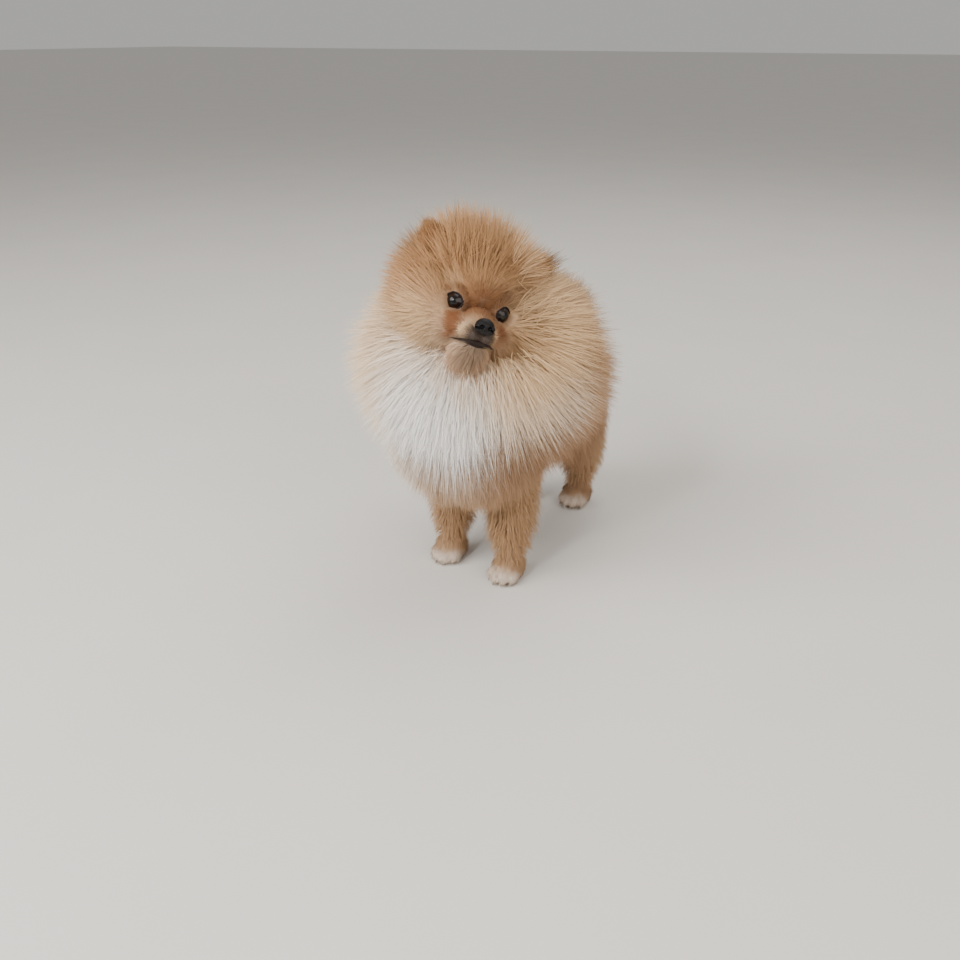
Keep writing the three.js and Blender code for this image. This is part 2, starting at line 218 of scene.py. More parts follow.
eyeShape = {
    "centre": (15.6, 6.2, 0.0), "radius": 8.2, "outward": 33.0, "tilt": 6, "halfWidth": 6.6,
    "halfHeight": 5.8, "lid": 8.9, "lidLimit": 11, "lidEdge": 1.7, "socket": 6.4, "near": 12.5,
    "bulge": 0.9, "pupil": (2.7, 3.3), "irisEdge": (4.6, 5.6), "white": (6.2, 6.9),
}


def frontLegPath(side):
    x, y = skinShape["frontPaws"][side]
    return [(x, y + 5, 14), (x, y + 7, 40), (0.97 * x, y + 12, 75), (0.9 * x, y + 16, 120)]


def hindLegPath(side):
    x, y = skinShape["hindPaws"][side]
    return [(x, y + 6, 14), (x, y + 13, 42), (1.05 * x, y + 6, 68), (x, y - 12, 105)]


def earPath(side):
    return [(side * x, y, z) for x, y, z in (earShape["base"], earShape["tip"])]


def eyePlace(side):
    x, y, z = eyeShape["centre"]
    return headPlace(side * x, y, z)


legPaths = [frontLegPath(1), frontLegPath(-1), hindLegPath(1), hindLegPath(-1)]
pawPlaces = [*skinShape["frontPaws"].values(), *skinShape["hindPaws"].values()]


def addEar(side):
    base, tip = [headPlace(*place) for place in earPath(side)]
    along = (tip - base).normalized()
    facing = (headTurn @ Vector((side * earShape["outward"], -1, 0))).normalized()
    facing = (facing - along * facing.dot(along)).normalized()
    turn = Matrix((facing.cross(along), -facing, along)).transposed()
    middle = (base + tip) / 2
    ear = addBall(middle, earShape["radii"], turn)
    hollow = addBall(middle + facing * earShape["hollowAhead"], earShape["hollowRadii"], turn)
    applyModifier(ear, "BOOLEAN", operation="DIFFERENCE", object=hollow, solver="EXACT")
    bpy.data.objects.remove(hollow)
    return ear


def buildSkin():
    parts = []
    for form in ("cranium", "muzzle", "cheeks", "headBase"):
        parts += [addBall(headPlace(*centre), radii, headTurn) for centre, radii in skinShape[form]]
    for form in ("ruff", "torso"):
        parts += [addBall(bodyPlace(*centre), radii) for centre, radii in skinShape[form]]
    parts += addLimb(skinShape["tail"], skinShape["tailRadii"])
    for side in (1, -1):
        parts += addLimb(frontLegPath(side), skinShape["frontLegRadii"])
        parts += addLimb(hindLegPath(side), skinShape["hindLegRadii"])
        for x, y in (skinShape["frontPaws"][side], skinShape["hindPaws"][side]):
            parts.append(addBall(bodyPlace(x, y + 3, 9), skinShape["pawRadii"]))
            for toeX, toeY in skinShape["toes"]:
                place = bodyPlace(x + toeX, y + toeY, skinShape["toeHeight"])
                parts.append(addBall(place, skinShape["toeRadii"]))
        parts.append(addEar(side))
        parts.append(addBall(eyePlace(side), skinShape["lidMound"], headTurn))
    skin = joinAll(parts, "skin")
    applyModifier(skin, "REMESH", mode="VOXEL", voxel_size=skinShape["voxel"], adaptivity=0)
    applyModifier(skin, "SMOOTH", factor=0.5, iterations=skinShape["smoothing"])
    return skin


print("building the skin")
skin = buildSkin()
print("skin vertices", len(skin.data.vertices))


def eyeAxes(side):
    # forward, towards the outer corner, and up, in the head's axes
    turn = math.radians(eyeShape["outward"])
    forward = np.array((side * math.sin(turn), -math.cos(turn), 0.0))
    outer = np.array((side * math.cos(turn), math.sin(turn), 0.0))
    tilt = math.radians(eyeShape["tilt"])
    up = np.array((0.0, 0.0, 1.0))
    return forward, outer * math.cos(tilt) + up * math.sin(tilt), up * math.cos(tilt) - outer * math.sin(tilt)


def eyeReach(local, side):
    centre = np.array(eyeShape["centre"]) * (side, 1, 1)
    forward, outer, up = eyeAxes(side)
    away = local - centre
    distance = np.linalg.norm(away, axis=1)
    facing = away @ forward
    aim = away / np.maximum(distance, 1e-6)[:, None] * eyeShape["radius"]
    across = (aim @ outer) / eyeShape["halfWidth"]
    height = (aim @ up) / eyeShape["halfHeight"]
    reach = np.sqrt(across ** 2 + height ** 2 + 0.35 * (across * height) ** 2)
    return np.where(facing > 0, reach, 9.0), away, distance, centre


def selectWhere(piece, chosen):
    pick(piece)
    bpy.ops.object.mode_set(mode="EDIT")
    bpy.ops.mesh.select_mode(type="FACE")
    bpy.ops.mesh.select_all(action="DESELECT")
    bpy.ops.object.mode_set(mode="OBJECT")
    middles = readAll(piece.data.polygons, "center", 3).astype(float)
    piece.data.polygons.foreach_set("select", chosen(middles))
    bpy.ops.object.mode_set(mode="EDIT")


def refineFace(skin):
    # smaller faces round the eyes, nose and mouth
    def nearFace(middles):
        centre, radii = skinShape["faceDetail"]
        return np.linalg.norm((toHead(toBody(middles)) - centre) / radii, axis=1) < 1
    selectWhere(skin, nearFace)
    bpy.ops.mesh.subdivide(number_cuts=1, smoothness=0.6)
    bpy.ops.object.mode_set(mode="OBJECT")


def openEyes(skin):
    # the skin sinks into a socket inside the lids' edge and stands as a lid round it
    local = toHead(toBody(meshPoints(skin)))
    for side in (1, -1):
        reach, away, distance, centre = eyeReach(local, side)
        near = (distance < eyeShape["near"]) & (distance > 0.1)
        direction = away / np.maximum(distance, 1e-6)[:, None]
        opened = centre + direction * eyeShape["socket"]
        lid = centre + direction * np.clip(distance, eyeShape["lid"], eyeShape["lidLimit"])[:, None]
        local = np.where((near & (reach < 1.0))[:, None], opened, local)
        local = np.where((near & (reach >= 1.0) & (reach < eyeShape["lidEdge"]))[:, None], lid, local)
    points = fromHead(local)
    points[:, 2] = np.maximum(points[:, 2], 0.0)
    setMeshPoints(skin, points)


refineFace(skin)
openEyes(skin)
pick(skin)
bpy.ops.object.shade_smooth()

# a coarse copy of the skin carries the coat's roots and its unwrap
print("unwrapping the skin")
bpy.ops.object.duplicate()
ground = bpy.context.object
ground.name = "coat_ground"
applyModifier(ground, "DECIMATE", ratio=0.16)
bpy.ops.object.mode_set(mode="EDIT")
bpy.ops.mesh.select_all(action="SELECT")
bpy.ops.uv.smart_project(angle_limit=1.15, island_margin=0.004)
bpy.ops.object.mode_set(mode="OBJECT")


# where each hair lies: fields over the whole body, in millimetres

def rise(a, b, x):
    t = np.clip((x - a) / (b - a), 0, 1)
    return t * t * (3 - 2 * t)


def unit(v):
    return v / np.maximum(np.linalg.norm(v, axis=-1, keepdims=True), 1e-9)


def reachOf(points, centre, radii):
    return np.linalg.norm((points - np.array(centre, float)) / np.array(radii, float), axis=1)


def pathOf(points, path):
    best = np.full(len(points), 1e9)
    nearest = np.zeros_like(points)
    heading = np.zeros_like(points)
    for a, b in zip(path[:-1], path[1:]):
        a, b = np.array(a, float), np.array(b, float)
        t = np.clip(((points - a) @ (b - a)) / ((b - a) @ (b - a)), 0, 1)
        spot = a + t[:, None] * (b - a)
        distance = np.linalg.norm(points - spot, axis=1)
        closer = distance < best
        best = np.where(closer, distance, best)
        nearest[closer] = spot[closer]
        heading[closer] = unit(b - a)
    return best, nearest, heading


def row(*numbers):
    return np.array(numbers, float)[None, :]


coatShape = {
    "faceLength": 6.0, "headLength": 36, "ruffLength": 50, "chestLength": 42, "torsoLength": 38,
    "thighLength": 36, "tailLength": 42, "sharpness": 9.0,
}
# the numbers of the regions, in the order in which coatField adds them
coatRegions = {
    "head": (0,), "ears": (1, 2), "ruff": (3,), "chest": (4,), "torso": (5,), "thighs": (6, 7),
    "tail": (8,), "legs": (9, 10, 11, 12), "paws": (13, 14, 15, 16),
}


def coatField(points, normals):
    q = toHead(points)
    x, y, z = q[:, 0], q[:, 1], q[:, 2]
    weights, flows, lifts, lengths, droops = [], [], [], [], []

    def region(value, flow, lift, length, droop):
        weights.append(np.exp(-coatShape["sharpness"] * value))
        flows.append(unit(np.broadcast_to(flow, points.shape)))
        for values, value in ((lifts, lift), (lengths, length), (droops, droop)):
            values.append(np.broadcast_to(value, x.shape).astype(float))

    # head: short on the face, long and standing at the sides, top and back
    fromFace = np.linalg.norm((q - row(0, -6, -9)) / row(1.0, 1.15, 0.95), axis=1)
    long = rise(15, 50, fromFace)
    fromEye = q - np.stack([np.where(x > 0, 16.0, -16.0), 2 + 0 * x, 0 * x], axis=1)
    eyeGap = np.linalg.norm(fromEye, axis=1)
    radial = unit(np.stack([x, 0 * x, z + 4], axis=1))
    radial[:, 2] *= 1 - rise(0, -8, y) * rise(-12, -19, z) * (1 - rise(-25, -29, z))
    back = row(0, 1, 0)
    muzzle = rise(4, -8, y)
    flowHead = radial * (0.25 + 0.75 * long)[:, None] + back * (1.1 - 0.5 * long)[:, None]
    flowHead += row(0, 0, -0.9) * (muzzle * rise(-25, -31, z))[:, None]
    flowHead += unit(fromEye) * (0.9 * (1 - rise(8, 12, eyeGap)))[:, None]
    shortest = coatShape["faceLength"]
    lengthHead = shortest + (coatShape["headLength"] - shortest) * long
    lengthHead = lengthHead * (0.60 + 0.40 * rise(9, 16, eyeGap)) * (1 - 0.30 * rise(-14, -26, y))
    lengthHead = lengthHead * (1 + 0.9 * rise(-25, -31, z) * muzzle)
    lengthHead = lengthHead * (1 - 0.5 * muzzle * (1 - rise(2, 6, np.abs(z + 22))))
    headValue = np.minimum(reachOf(q, (0, 40, 5), (44, 36, 40)), reachOf(q, (0, -2, -12), (20, 26, 20)))
    region(headValue, flowHead @ headNumbers.T, 0.14 + 0.16 * rise(8, 14, eyeGap) + 0.32 * long,
           lengthHead, 0.10 * long)
    # ears: along the ear, with a fringe at the tip
    for side in (1, -1):
        base, tip = earPath(side)
        distance, nearest, heading = pathOf(q, [base, tip])
        up = (nearest[:, 2] - base[2]) / (tip[2] - base[2])
        region(distance / 10 + 0.35 * (1 - up), heading @ headNumbers.T, 0.16, 8 + 7 * up, 0.05)
    # ruff: away from the face, then down
    faceCentre = np.array(headPoint(0, 10, -6))
    flowRuff = unit(points - faceCentre) + row(0, 0.15, -0.20)
    flowChest = unit(points - row(0, 10, 175)) + row(0, 0, -0.6)
    upperRuff, lowerRuff = skinShape["ruff"]
    region(reachOf(points, *upperRuff), flowRuff, 0.62, coatShape["ruffLength"], 0.16)
    region(reachOf(points, *lowerRuff), flowChest, 0.52, coatShape["chestLength"], 0.30)
    # body: backwards, and down the sides
    height = points[:, 2]
    side = np.clip((150 - height) / 40, 0, 1)
    flowTorso = row(0, 1, 0) + row(0, 0, -0.75) * side[:, None]
    barrel, *thighs = skinShape["torso"]
    region(reachOf(points, *barrel), flowTorso, 0.42, coatShape["torsoLength"], 0.35)
    for thigh in thighs:
        region(reachOf(points, *thigh), row(0, 0.7, -0.8), 0.45, coatShape["thighLength"], 0.4)
    # tail: along its curl and out to both sides
    distance, nearest, heading = pathOf(points, skinShape["tail"])
    out = unit(points - nearest)
    aside = np.stack([np.tanh(points[:, 0] / 8), 0 * x, 0 * x], axis=1)
    flowTail = heading * 1.0 + out * 0.1 + aside * 0.75
    upper = np.clip(out[:, 2], 0, 1)
    region(distance / 16.5, flowTail, 0.42 - 0.12 * upper, coatShape["tailLength"] * (1 - 0.2 * upper), 0.25)
    # legs: downwards, longest behind
    for path in legPaths:
        distance, nearest, _ = pathOf(points, path)
        width = 10 + 6 * rise(40, 110, nearest[:, 2])
        behind = np.clip(unit(points - nearest)[:, 1], 0, 1)
        length = 9 + 18 * rise(14, 60, height) + 6 * behind * rise(20, 45, height)
        flowLeg = row(0, 0.10, -1) + row(0, 0.7, 0) * behind[:, None]
        region(distance / width + 2.5 * rise(95, 125, height), flowLeg, 0.68, length + 4, 0.12)
    for pawX, pawY in pawPlaces:
        value = reachOf(points, (pawX, pawY - 1, 8), (14, 19, 12))
        region(value - 0.05, row(0, -0.8, -0.45), 0.28, 5.0, 0.1)
    weights = np.array(weights)
    weights /= weights.sum(axis=0)
    flow = unit(np.einsum("rn,rnc->nc", weights, np.array(flows)))
    lift, length, droop = [np.einsum("rn,rn->n", weights, np.array(values))
                           for values in (lifts, lengths, droops)]
    return flow, lift, length, droop, np.argmax(weights, axis=0), long


def groundNumbers():
    mesh = ground.data
    mesh.calc_loop_triangles()
    corners = readAll(mesh.loop_triangles, "vertices", 3, np.int32)
    loops = readAll(mesh.loop_triangles, "loops", 3, np.int32)
    normals = readAll(mesh.vertices, "normal", 3).astype(float)
    uvs = readAll(mesh.uv_layers.active.data, "uv", 2).astype(float)
    return toBody(meshPoints(ground))[corners], normals[corners], uvs[loops]


groundPoints, groundNormals, groundUvs = groundNumbers()
triangleMiddles = groundPoints.mean(axis=1)
triangleAreas = np.linalg.norm(np.cross(groundPoints[:, 1] - groundPoints[:, 0],
                                        groundPoints[:, 2] - groundPoints[:, 0]), axis=1) / 2
triangleField = coatField(triangleMiddles, unit(groundNormals.mean(axis=1)))
print("ground triangles", len(triangleAreas), "area", triangleAreas.sum())


bareShape = {
    "eyeEdge": 1.03, "nose": ((0, -29, -11), (7.6, 7, 6.6)),
    "lipHeight": -23.6, "lipHalf": 2.1, "lipBack": -5, "lipHalfWidth": 17,
}


def growthAt(middles):
    # denser round the eyes, and 0 where no hair grows: on the eyes, the nose and the lips
    local = toHead(middles)
    grows = np.ones(len(middles))
    for side in (1, -1):
        reach, _, distance, _ = eyeReach(local, side)
        onEye = (reach < bareShape["eyeEdge"]) & (distance < eyeShape["near"])
        grows *= ~onEye * (1 + 1.5 * (1 - rise(9, 14, distance)))
    grows *= reachOf(local, *bareShape["nose"]) > 1
    lip = np.abs(local[:, 2] - bareShape["lipHeight"]) < bareShape["lipHalf"]
    front = (local[:, 1] < bareShape["lipBack"]) & (np.abs(local[:, 0]) < bareShape["lipHalfWidth"])
    grows *= ~(lip & front)
    return grows


def scatter(rng, count, weight):
    chance = triangleAreas * weight
    chance = chance / chance.sum()
    picks = rng.choice(len(chance), size=count, p=chance)
    a, b = rng.random(count), rng.random(count)
    flip = a + b > 1
    a, b = np.where(flip, 1 - a, a), np.where(flip, 1 - b, b)
    mix = np.stack([1 - a - b, a, b], axis=1)
    place = np.einsum("nk,nkc->nc", mix, groundPoints[picks])
    normal = unit(np.einsum("nk,nkc->nc", mix, groundNormals[picks]))
    uv = np.einsum("nk,nkc->nc", mix, groundUvs[picks])
    return place, normal, uv


coatReach = {  # how far the tips of the coat reach
    "head": [((0, 32, 8), (73, 53, 70))],
    "ruff": [((-2, 8, 182), (114, 104, 101)), ((-2, -14, 130), (76, 63, 68))],
    "torso": [((3, 82, 146), (84, 90, 64)), ((28, 136, 98), (35, 45, 62)), ((-28, 132, 98), (35, 45, 62))],
    "leg": 27, "legNarrowing": 11, "tail": 43, "least": 0.80, "spread": 0.25,
}


def tipReach(points, kind):
    # 1 where a point lies on the outer form of its own region
    reach = np.zeros(len(points))
    head = kind == 0
    reach[head] = reachOf(toHead(points[head]), *coatReach["head"][0])
    for form, names in (("ruff", ("ruff", "chest")), ("torso", ("torso", "thighs"))):
        chosen = np.isin(kind, [number for name in names for number in coatRegions[name]])
        reach[chosen] = np.min([reachOf(points[chosen], *blob) for blob in coatReach[form]], axis=0)
    tail = np.isin(kind, coatRegions["tail"])
    reach[tail] = pathOf(points[tail], skinShape["tail"])[0] / coatReach["tail"]
    for number, path in zip(coatRegions["legs"], legPaths):
        leg = points[kind == number]
        radius = coatReach["leg"] - coatReach["legNarrowing"] * (1 - rise(10, 50, leg[:, 2]))
        reach[kind == number] = pathOf(leg, path)[0] / radius
    return reach


def fitToReach(place, way, kind, rng):
    # the share of its length at which each hair's tip meets the coat's outer form
    target = coatReach["least"] + coatReach["spread"] * rng.random(len(place)) ** 0.8
    low = np.full(len(place), 0.25)
    high = np.full(len(place), 1.45)
    for _ in range(8):
        middle = (low + high) / 2
        short = tipReach(place + way * middle[:, None], kind) < target
        low = np.where(short, middle, low)
        high = np.where(short, high, middle)
    return np.where(np.isin(kind, coatRegions["ears"] + coatRegions["paws"]), 1.0, middle)


def swirl(points):
    # slow waves that keep the coat from looking combed
    waves = row(0.051, 0.037, 0.044) * points + row(0.3, 1.7, 2.9)
    other = row(0.093, 0.081, 0.101) * points[:, [1, 2, 0]] + row(1.1, 0.2, 2.2)
    slow = np.sin(waves[:, [1, 2, 0]] * 2 + np.cos(waves))
    quick = np.sin(other + 1.3 * np.cos(other[:, [2, 0, 1]]))
    return slow * 0.6 + quick * 0.4


hairShape = {  # of all hairs, long and short
    "liftSpread": 0.18, "looseFreedom": 0.9, "looseLength": 0.80, "shortest": 1.5, "longest": 70,
    "rootDepth": 0.6, "floorGap": 0.05, "thinnest": 0.45, "thickest": 1.15,
}


def hairLines(place, normal, rng, tufts, times, wander):
    flow, lift, length, droop, kind, long = coatField(place, normal)
    count = len(place)
    flow = unit(flow + swirl(place) * tufts["swirl"])
    loose = rng.random(count) < tufts["loose"]  # softer hairs that lie any way between the locks
    lean = unit(flow - normal * np.sum(flow * normal, axis=1, keepdims=True))
    freedom = 1 + hairShape["looseFreedom"] * loose * rise(0.6, 1.0, long)
    drift = rng.normal(size=(count, 3)) * (wander * freedom)[:, None]
    lift = lift * (1 + rng.normal(size=count) * hairShape["liftSpread"])
    lift = np.clip(lift, 0.05, 0.95)[:, None]
    start = unit(lean * (1 - lift) + normal * (lift + 0.10) + drift)
    end = lean * (1.15 - lift) + normal * lift * 0.55 + flow * 0.25
    end = unit(end + row(0, 0, -1) * droop[:, None] + drift)
    length = length * (1 + rng.normal(size=count) * tufts["lengthSpread"])
    way = length[:, None] * (start + (end - start) / 2)
    share = fitToReach(place, way, kind, rng)
    share = np.where(kind == 0, 1 + (share - 1) * rise(0.35, 0.8, long), share)
    length = length * share * np.where(loose, hairShape["looseLength"], 1.0)
    length = np.clip(length, hairShape["shortest"], hairShape["longest"])
    t = times[None, :, None]
    line = place[:, None, :] - normal[:, None, :] * hairShape["rootDepth"]
    line = line + length[:, None, None] * (t * start[:, None, :] + t * t * (end - start)[:, None, :] / 2)
    return line, length, loose


def drawHairs(tufts, rng):
    weight = tufts["where"](triangleMiddles, triangleField) * growthAt(triangleMiddles)
    place, normal, uv = scatter(rng, tufts["count"], weight)
    times = np.array(tufts["times"], float)
    line, length, loose = hairLines(place, normal, rng, tufts, times, tufts["wander"])
    # neighbouring hairs close towards the tip of one lock
    lockCount = max(8, tufts["count"] // tufts["perLock"])
    lockPlace, lockNormal, _ = scatter(rng, lockCount, weight)
    lockTufts = dict(tufts, loose=0.0)
    lockLine = hairLines(lockPlace, lockNormal, rng, lockTufts, times, tufts["lockWander"])[0]
    tree = KDTree(lockCount)
    for i, spot in enumerate(lockPlace):
        tree.insert(spot, i)
    tree.balance()
    owner = np.array([tree.find(spot)[1] for spot in place])
    offset = (place - lockPlace[owner])[:, None, :]
    t = times[None, :, None]
    pull = tufts["clump"] * rng.random(tufts["count"]) ** 0.6
    near = np.linalg.norm(offset[:, 0, :], axis=1) < tufts["lockReach"]
    pull = np.where(near & ~loose, pull, 0.0)[:, None, None] * t ** 1.3
    line = line + (lockLine[owner] + offset * (1 - t) - line) * pull
    return place, normal, uv, line, length, owner, lockCount


def bladeCorners(tufts, rng, normal, line, length):
    # each hair is a thin closed blade with three sides, shaded mostly by the way its root faces
    count, rings = len(line), line.shape[1] - 1
    ahead = unit(line[:, -1] - line[:, 0])
    side = unit(np.cross(ahead, normal + rng.normal(size=(count, 3)) * 0.35))
    top = np.cross(side, ahead)
    width = tufts["width"] * (0.75 + 0.5 * rng.random(count))
    width = width * np.clip(length / tufts["fullLength"], hairShape["thinnest"], hairShape["thickest"])
    corners = np.empty((count, rings * 3 + 1, 3))
    normals = np.empty_like(corners)
    for k in range(rings):
        half = (width * tufts["profile"][k] / 2)[:, None]
        corners[:, 3 * k] = line[:, k] + side * half
        corners[:, 3 * k + 1] = line[:, k] + top * half * tufts["flat"]
        corners[:, 3 * k + 2] = line[:, k] - side * half
        normals[:, 3 * k] = side
        normals[:, 3 * k + 1] = top
        normals[:, 3 * k + 2] = -side
    corners[:, -1] = line[:, -1]
    corners[:, :, 2] = np.maximum(corners[:, :, 2], hairShape["floorGap"])
    normals[:, -1] = ahead * 0.4 + top
    normals = unit(normals * tufts["ownShade"] + normal[:, None, :] * tufts["rootShade"]
                   + ahead[:, None, :] * tufts["aheadShade"])
    return corners, normals


def bladeFaces(count, rings):
    # four corners for each side, then three for the faces at the tip and the root
    sides = []
    for k in range(rings - 1):
        for s in range(3):
            n = (s + 1) % 3
            sides.append([3 * k + n, 3 * k + s, 3 * (k + 1) + s, 3 * (k + 1) + n])
    last = 3 * (rings - 1)
    ends = [[last + (s + 1) % 3, last + s, 3 * rings] for s in range(3)] + [[0, 1, 2]]
    first = (np.arange(count) * (3 * rings + 1))[:, None, None]
    quads = (np.array(sides)[None] + first).reshape(-1)
    triangles = (np.array(ends)[None] + first).reshape(-1)
    starts = [np.arange(0, len(quads), 4), len(quads) + np.arange(0, len(triangles), 3)]
    return np.concatenate([quads, triangles]).astype(np.int32), np.concatenate(starts).astype(np.int32)


def growCoat(name, tufts):
    rng = np.random.default_rng(tufts["seed"])
    count = tufts["count"]
    place, normal, uv, line, length, owner, lockCount = drawHairs(tufts, rng)
    corners, normals = bladeCorners(tufts, rng, normal, line, length)
    tone = rng.random(lockCount)[owner] * 0.4 + rng.random(count) * 0.6
    rings = line.shape[1] - 1
    perHair = corners.shape[1]
    loopPoints, loopStarts = bladeFaces(count, rings)
    mesh = bpy.data.meshes.new(name)
    mesh.vertices.add(count * perHair)
    mesh.loops.add(len(loopPoints))
    mesh.polygons.add(len(loopStarts))
    mesh.vertices.foreach_set("co", flat((corners + np.array(bodyShift)) * mm))
    mesh.loops.foreach_set("vertex_index", loopPoints)
    mesh.polygons.foreach_set("loop_start", loopStarts)
    mesh.update(calc_edges=True)
    mesh.validate()
    # the bake map: every hair is a small patch at its root on the skin's unwrap
    across = np.append(np.tile([-0.5, 0.0, 0.5], rings), 0.0)
    along = np.append(np.repeat(tufts["times"][:-1], 3), 1.0)
    patch = np.stack([across, along - 0.5], axis=1) * tufts["patch"]
    uvs = (uv[:, None, :] + patch[None]).reshape(-1, 2)
    mesh.uv_layers.new(name="OFBake").data.foreach_set("uv", flat(uvs[loopPoints]))

    def addAttribute(title, kind, field, values):
        mesh.attributes.new(title, kind, "POINT").data.foreach_set(field, flat(values))

    addAttribute("along", "FLOAT", "value", np.tile(along, count))
    addAttribute("tone", "FLOAT", "value", np.repeat(tone, perHair))
    rootPlace = (place + np.array(bodyShift)) * mm
    addAttribute("root", "FLOAT_VECTOR", "vector", np.repeat(rootPlace, perHair, axis=0))
    mesh.polygons.foreach_set("use_smooth", np.ones(len(mesh.polygons), bool))
    mesh.normals_split_custom_set_from_vertices(normals.reshape(-1, 3).astype(np.float32))
    piece = bpy.data.objects.new(name, mesh)
    bpy.context.scene.collection.objects.link(piece)
    print(name, count, "hairs,", len(mesh.loops) - 2 * len(mesh.polygons), "triangles")
    return piece


# which part of the skin each piece grows on

def inRegion(name):
    return lambda middles, field: np.isin(field[4], coatRegions[name]).astype(float)


def onHead(lowest, highest):
    def weigh(middles, field):
        return (inRegion("head")(middles, field) > 0) & (field[5] >= lowest) & (field[5] < highest)
    return weigh


def onRuff(sign):
    def weigh(middles, field):
        return (inRegion("ruff")(middles, field) > 0) & (middles[:, 0] * sign + 3 * sign > 0)
    return weigh


longHair = dict(times=(0, 0.5, 1), profile=(0.85, 0.85), flat=0.4, width=0.5, perLock=40, clump=0.20,
                lockReach=11, wander=0.19, lockWander=0.26, swirl=0.38, lengthSpread=0.12, fullLength=34,
                ownShade=0.16, rootShade=1.0, aheadShade=0.15, loose=0.42, patch=0.003)
shortHair = dict(times=(0, 0.5, 1), profile=(0.9, 0.8), flat=0.4, width=0.42, perLock=12, clump=0.4,
                 lockReach=4, wander=0.12, lockWander=0.15, swirl=0.1, lengthSpread=0.18, fullLength=6,
                 ownShade=0.35, rootShade=1.0, aheadShade=0.15, loose=0.15, patch=0.003)
coatPieces = {
    "coat_face": dict(shortHair, seed=11, count=17000, width=0.5, where=onHead(0.0, 0.25)),
    "coat_head": dict(longHair, seed=12, count=19000, where=onHead(0.25, 2.0)),
    "coat_ears": dict(shortHair, seed=21, count=3500, fullLength=12, rootShade=0.3, aheadShade=0.9,
                      where=inRegion("ears")),
    "coat_ruff_left": dict(longHair, seed=13, count=19500, where=onRuff(1)),
    "coat_ruff_right": dict(longHair, seed=14, count=19500, where=onRuff(-1)),
    "coat_chest": dict(longHair, seed=15, count=15000, where=inRegion("chest")),
    "coat_torso": dict(longHair, seed=16, count=14500, where=inRegion("torso")),
    "coat_thighs": dict(longHair, seed=17, count=10000, where=inRegion("thighs")),
    "coat_tail": dict(longHair, seed=18, count=10500, where=inRegion("tail")),
    "coat_legs": dict(shortHair, seed=19, count=13500, width=0.55, fullLength=16, lockReach=8, perLock=24,
                      swirl=0.35, wander=0.22, loose=0.35, where=inRegion("legs")),
    "coat_paws": dict(shortHair, seed=20, count=8000, where=inRegion("paws")),
}
print("growing the coat")
coat = [growCoat(name, tufts) for name, tufts in coatPieces.items()]
bpy.data.objects.remove(ground)


# materials

def newGroup(name, inputs, outputs):
    group = bpy.data.node_groups.new(name, "ShaderNodeTree")
    for socket, kind in inputs:
        group.interface.new_socket(name=socket, in_out="INPUT", socket_type=kind)
    for socket, kind in outputs:
        group.interface.new_socket(name=socket, in_out="OUTPUT", socket_type=kind)
    return group, group.nodes.new("NodeGroupInput"), group.nodes.new("NodeGroupOutput")


def addNode(tree, kind, settings=None, **links):
    node = tree.nodes.new("ShaderNode" + kind)
    for key, value in (settings or {}).items():
        setattr(node, key, value)
    for key, value in links.items():
        socket = node.inputs[int(key[1:])] if key[0] == "i" and key[1:].isdigit() else node.inputs[key]
        if isinstance(value, bpy.types.NodeSocket):
            tree.links.new(value, socket)
        else:
            socket.default_value = value
    return node


def mapRange(tree, value, lowest, highest, start, end, curve="LINEAR"):
    return addNode(tree, "MapRange", {"interpolation_type": curve}, i0=value,
                   i1=lowest, i2=highest, i3=start, i4=end).outputs[0]


def scaleBy(tree, vector, amount):
    return addNode(tree, "VectorMath", {"operation": "SCALE"}, i0=vector, Scale=amount).outputs[0]


def maths(tree, operation, first, second, kind="Math"):
    return addNode(tree, kind, {"operation": operation}, i0=first, i1=second).outputs[0]


def vectorMaths(tree, operation, first, second):
    return maths(tree, operation, first, second, "VectorMath")


def mixColours(tree, amount, first, second):
    return addNode(tree, "Mix", {"data_type": "RGBA"}, i0=amount, i6=first, i7=second).outputs[2]


def buildSoftBlob():
    group, entry, leave = newGroup("softBlob",
                                   [("Place", "NodeSocketVector"), ("Centre", "NodeSocketVector"),
                                    ("Radii", "NodeSocketVector"), ("Softness", "NodeSocketFloat")],
                                   [("Mask", "NodeSocketFloat")])
    place, centre, radii, softness = [entry.outputs[i] for i in range(4)]
    scaled = vectorMaths(group, "DIVIDE", vectorMaths(group, "SUBTRACT", place, centre), radii)
    reach = addNode(group, "VectorMath", {"operation": "LENGTH"}, i0=scaled).outputs["Value"]
    inner = maths(group, "SUBTRACT", 1.0, softness)
    outer = maths(group, "ADD", 1.0, softness)
    fade = mapRange(group, reach, inner, outer, 1.0, 0.0, "SMOOTHSTEP")
    group.links.new(fade, leave.inputs["Mask"])
    return group


softBlob = buildSoftBlob()


def linear(red, green, blue):
    made = []
    for value in (red, green, blue):
        value = value / 255
        made.append(value / 12.92 if value <= 0.04045 else ((value + 0.055) / 1.055) ** 2.4)
    return (*made, 1.0)


# the flank, shade and paw colours are partly painted shade, and cream is also laid on as painted light on the
# head's left side
markingAndShadeColours = {
    "flank": linear(166, 130, 99), "tan": linear(192, 159, 125), "orange": linear(162, 119, 80),
    "cream": linear(228, 190, 145), "pale": linear(236, 219, 200), "white": linear(246, 243, 240),
    "rust": linear(106, 60, 30), "bridge": linear(110, 70, 42), "grey": linear(54, 44, 40),
    "leg": linear(170, 134, 99), "dark": linear(44, 32, 26), "shade": linear(148, 115, 88),
    "paw": linear(218, 199, 182), "lash": linear(88, 58, 38), "flesh": linear(178, 140, 110),
}
